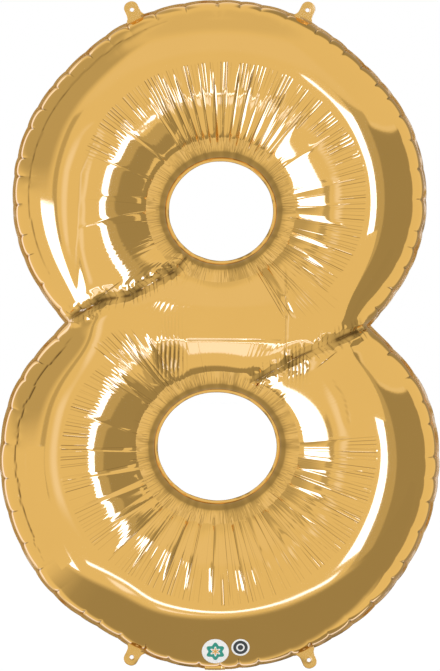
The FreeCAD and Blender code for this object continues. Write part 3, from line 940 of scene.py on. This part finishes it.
# What the film reflects: azimuth range to the right of the front view, elevation range, radiance
# and softness, in degrees. Later entries lie over earlier ones.
REFLECTIONS = [
    ((-179, 180), (66, 90), 0.9, 14),
    ((-148, -56), (8, 58), 0.64, 16),
    ((-48, 48), (34, 60), 1.12, 10),
    ((144, 172), (-91, 50), 0.42, 6),
    ((-172, -162), (-91, 50), 0.6, 6),
    ((33, 50), (-91, 33), 0.66, 1.5),
    ((46, 104), (-91, 26), 0.45, 1.5),
    ((52, 100), (26.5, 29), 1.25, 1.0),
    ((-22, 17), (-43, -33), 3.4, 2),
    ((-33, -22), (-12, 14), 1.9, 8),
    ((-50, -42), (-12, 30), 0.66, 3),
    ((22.5, 32.5), (-23, 27), 14.0, 0.8),
    ((-31, 27), (-29.2, -27), 10.0, 0.8),
    ((-74, -48), (-40, 1), 12.0, 2),
    ((206, 214), (-23, 30), 3.0, 1.0),
    ((150, 206), (-32, -27), 3.0, 1.0),
]


def dome(radius=60.0):
    """A sphere round the object that carries the reflected studio."""
    azimuth, elevation = np.meshgrid(np.linspace(-180, 180, 481), np.linspace(-89.9, 89.9, 241))
    value = np.ones_like(azimuth)
    for azimuths, elevations, radiance, soft in REFLECTIONS:
        middle, half = 0.5 * (azimuths[0] + azimuths[1]), 0.5 * (azimuths[1] - azimuths[0])
        aside = np.abs(turn_from(middle, azimuth))
        weight = 1 - smooth(half - soft / 2, half + soft / 2, aside)
        weight = weight * smooth(elevations[0] - soft / 2, elevations[0] + soft / 2, elevation)
        weight = weight * (1 - smooth(elevations[1] - soft / 2, elevations[1] + soft / 2, elevation))
        value = value * (1 - weight) + radiance * weight
    a, e = np.radians(azimuth), np.radians(elevation)
    points = np.stack([np.cos(e) * np.sin(a), -np.cos(e) * np.cos(a), np.sin(e)], -1) * radius
    card("studio_dome", points, value)


# Flat cards near the figure: corner, width and height vectors in metres, radiance, shares of the
# width and height over which it fades, and share of the width past which it doesn't fade.
FLAGS = {
    "low_flag": ((-0.52, -0.22, -0.50), (2.6, -0.45, 0), (0, 0.40, 0), 0.44, 0.09, 0.16, 0.30),
    "left_flag": ((-0.345, -0.21, -0.42), (0, 0.12, 0), (0, 0, 0.285), 1.0, 0.3, 0.3),
    "waist_flag": ((0.18, -0.197, -0.085), (0.12, 0, 0), (0, 0, 0.20), 1.0, 0.3, 0.3),
}


def soft_card(name, corner, across, up, radiance, soft_across, soft_up, solid=2.0):
    """A four-sided card that fades to the plain studio light at its edges."""
    u, v = np.meshgrid(np.linspace(0, 1, 41), np.linspace(0, 1, 41), indexing="ij")
    points = np.array(corner) + u[..., None] * np.array(across) + v[..., None] * np.array(up)
    weight = smooth(0, soft_across, u) * smooth(0, soft_across, 1 - u)
    weight = weight * smooth(0, soft_up, v) * smooth(0, soft_up, 1 - v)
    weight = np.maximum(weight, smooth(solid, solid + 0.08, u))
    card(name, points, 1 + (radiance - 1) * weight)


# Rows of a flag in an eye: depth, as a share of the film's height, and radiance.
EYE_FLAG_ROWS = [
    (-1.0, 1.0), (-0.7, 0.9), (-0.5, 0.72), (-0.38, 0.42), (0.38, 0.42), (0.5, 0.72), (1.0, 1.0),
]
EYE_FLAG_POINTS = 97
EYE_FLAG_GAP = 5.0     # how far inside the eye the flag stands
COLLAR = 32.0          # the flag is as high as the film this far from the eye


def eye_flag(name, eye):
    """A tube inside an eye, unevenly lit, that shows in the gathers and walls of the eye."""
    rng = np.random.default_rng(3)
    angle = np.linspace(0, FULL_TURN, EYE_FLAG_POINTS)
    uneven = rng.uniform(-1, 1, EYE_FLAG_POINTS)
    uneven[-1] = uneven[0]
    height = float(film_height(eye["x"] + eye["a"] + COLLAR, eye["z"], 0.0))
    x = eye["x"] + (eye["a"] - EYE_FLAG_GAP) * np.cos(angle)
    z = eye["z"] + (eye["b"] - EYE_FLAG_GAP) * np.sin(angle)
    points, values = [], []
    for share, radiance in EYE_FLAG_ROWS:
        points.append(np.stack([x, x * 0 + share * height, z], -1) * MM)
        values.append(radiance * (1 + (0.35 if radiance > 0.6 else 0.15) * uneven))
    card(name, np.array(points), np.array(values))


BLADE_SPAN = (-2.0, 11.0)  # from below the film's height to above it


def pinch_blade(name, path, side, seed):
    """A dim blade that stands over the slit of a pinch and shows in the pinch's walls."""
    t = np.linspace(0, 1, 60)
    places = np.linspace(0, 1, len(path))
    x = np.interp(t, places, [at[0] for at in path])
    z = np.interp(t, places, [at[1] for at in path])
    height = film_height(x, z, 0.0)
    rows = [np.stack([x, -side * (height + lift), z], -1) * MM for lift in BLADE_SPAN]
    uneven = np.interp(t, np.linspace(0, 1, 14), np.random.default_rng(seed).uniform(0.3, 0.9, 14))
    card(name, np.array(rows), np.array([uneven, uneven]))


FLOOR_HALF = 30.0
FLOOR_LEVEL = -0.75


def plain_floor():
    """A pale floor under the figure that doesn't show in its reflections."""
    mesh = bpy.data.meshes.new("floor")
    corners = ((-1, -1), (1, -1), (1, 1), (-1, 1))
    points = [(x * FLOOR_HALF, y * FLOOR_HALF, FLOOR_LEVEL) for x, y in corners]
    mesh.from_pydata(points, [], [(0, 1, 2, 3)])
    floor = bpy.data.objects.new("floor", mesh)
    bpy.context.scene.collection.objects.link(floor)
    paint, shader = new_material("floor_paint")
    set_inputs(paint, shader, {
        "Base Color": (0.93, 0.93, 0.93, 1),
        "Roughness": 1.0,
        "Emission Color": (1, 1, 1, 1),
        "Emission Strength": 0.1,
    })
    mesh.materials.append(paint)
    floor.visible_glossy = False


def studio():
    """Even white light, the floor, and the cards that the foil reflects."""
    world = bpy.data.worlds.new("studio")
    bpy.context.scene.world = world
    world.use_nodes = True
    world.node_tree.nodes["Background"].inputs["Color"].default_value = (1, 1, 1, 1)
    world.node_tree.nodes["Background"].inputs["Strength"].default_value = 1.0
    plain_floor()
    dome()
    for name, flag in FLAGS.items():
        soft_card(name, *flag)
    eye_flag("upper_eye_flag", UPPER_EYE)
    eye_flag("lower_eye_flag", LOWER_EYE)
    for side in (1, -1):
        pinch_blade("left_pinch_blade", LEFT_PINCH, side, 21)
        pinch_blade("right_pinch_blade", RIGHT_PINCH, side, 22)


CAMERA_AWAY = 4.0
PICTURE_HEIGHT = 0.8646
SENSOR_HEIGHT = 24.0


def camera():
    """A camera straight in front, far enough away for an almost flat view."""
    data = bpy.data.cameras.new("camera")
    obj = bpy.data.objects.new("camera", data)
    bpy.context.scene.collection.objects.link(obj)
    data.sensor_fit = "VERTICAL"
    data.sensor_height = SENSOR_HEIGHT
    data.lens = SENSOR_HEIGHT * CAMERA_AWAY / PICTURE_HEIGHT
    data.clip_end = 200.0
    obj.location = (0.0006, -CAMERA_AWAY, -0.0003)
    obj.rotation_euler = (math.pi / 2, 0, 0)
    bpy.context.scene.camera = obj


# ---- the whole figure ----

# The formed films: name, side, CAD node and what is added to the seeds.
FILMS = (("front_film", 1, "front_foil_panel", 0), ("back_film", -1, "back_foil_panel", BACK_SEED))
CLEAR_FILMS = ("mouth_film_front", "mouth_film_back", "valve_film_front", "valve_film_back")
WHITE_INK = (0.86, 0.86, 0.84)
GREEN_INK = (0.02, 0.30, 0.22)
SAND_INK = (0.75, 0.42, 0.10)
GREY_INK = (0.04, 0.045, 0.05)
# Bands of ink: where each starts, as a share of the mark's radius, and its colour.
ROSETTE = [(0.0, SAND_INK), (0.2, WHITE_INK), (0.3, GREEN_INK), (0.62, WHITE_INK)]
RINGED = [(0.0, GREY_INK), (0.3, WHITE_INK), (0.46, GREY_INK), (0.8, WHITE_INK)]
# Generic printed marks: name, x, z, radius, bands and number of petals.
MARKS = [
    ("print_rosette", -5.3, -402.0, 17.2, ROSETTE, 6),
    ("print_ring", 26.6, -396.4, 11.6, RINGED, 0),
]


def build():
    bpy.context.scene.view_settings.view_transform = "Standard"
    gold = foil("gold_foil", (0.785, 0.468, 0.125), (0.755, 0.448, 0.118), (0.045, 0.085), 14.0)
    fused = foil("fused_foil", (0.72, 0.435, 0.12), (0.66, 0.395, 0.105), (0.2, 0.26), 25.0)
    # The outer seam's dark tint is partly the fused seam's own duller colour and partly painted shade along
    # the figure's rim.
    edge = foil("seam_edge", (0.50, 0.29, 0.08), (0.40, 0.23, 0.063), (0.3, 0.38), 25.0)
    clear = clear_film()
    films = {}
    for name, side, node, seed_shift in FILMS:
        film = sheet_mesh(name, film_points(film_grid(seed_shift), side), side < 0)
        film.data.materials.append(gold)
        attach(film, "balloon")
        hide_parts(node)
        films[side] = film
    seams = (
        (outer_seam(edge), "outer_seam_band"),
        (eye_seam("upper_eye_seam", UPPER_EYE, gold), "upper_eye_seam_band"),
        (eye_seam("lower_eye_seam", LOWER_EYE, gold), "lower_eye_seam_band"),
    )
    for seam, node in seams:
        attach(seam, "balloon")
        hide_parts(node)
    for name, (fold, normal) in TABS.items():
        hang_tab(name, fold, normal, fused)
    inflation_tail(gold)
    for name, x, z, radius, bands, petals in MARKS:
        print_ink = ink(name, x, z, radius, bands, petals)
        printed_mark(name, films[1], x, z, radius, print_ink)
    for node in CLEAR_FILMS:
        for slot in bpy.data.objects[node].material_slots:
            slot.material = clear
    camera()
    studio()


build()
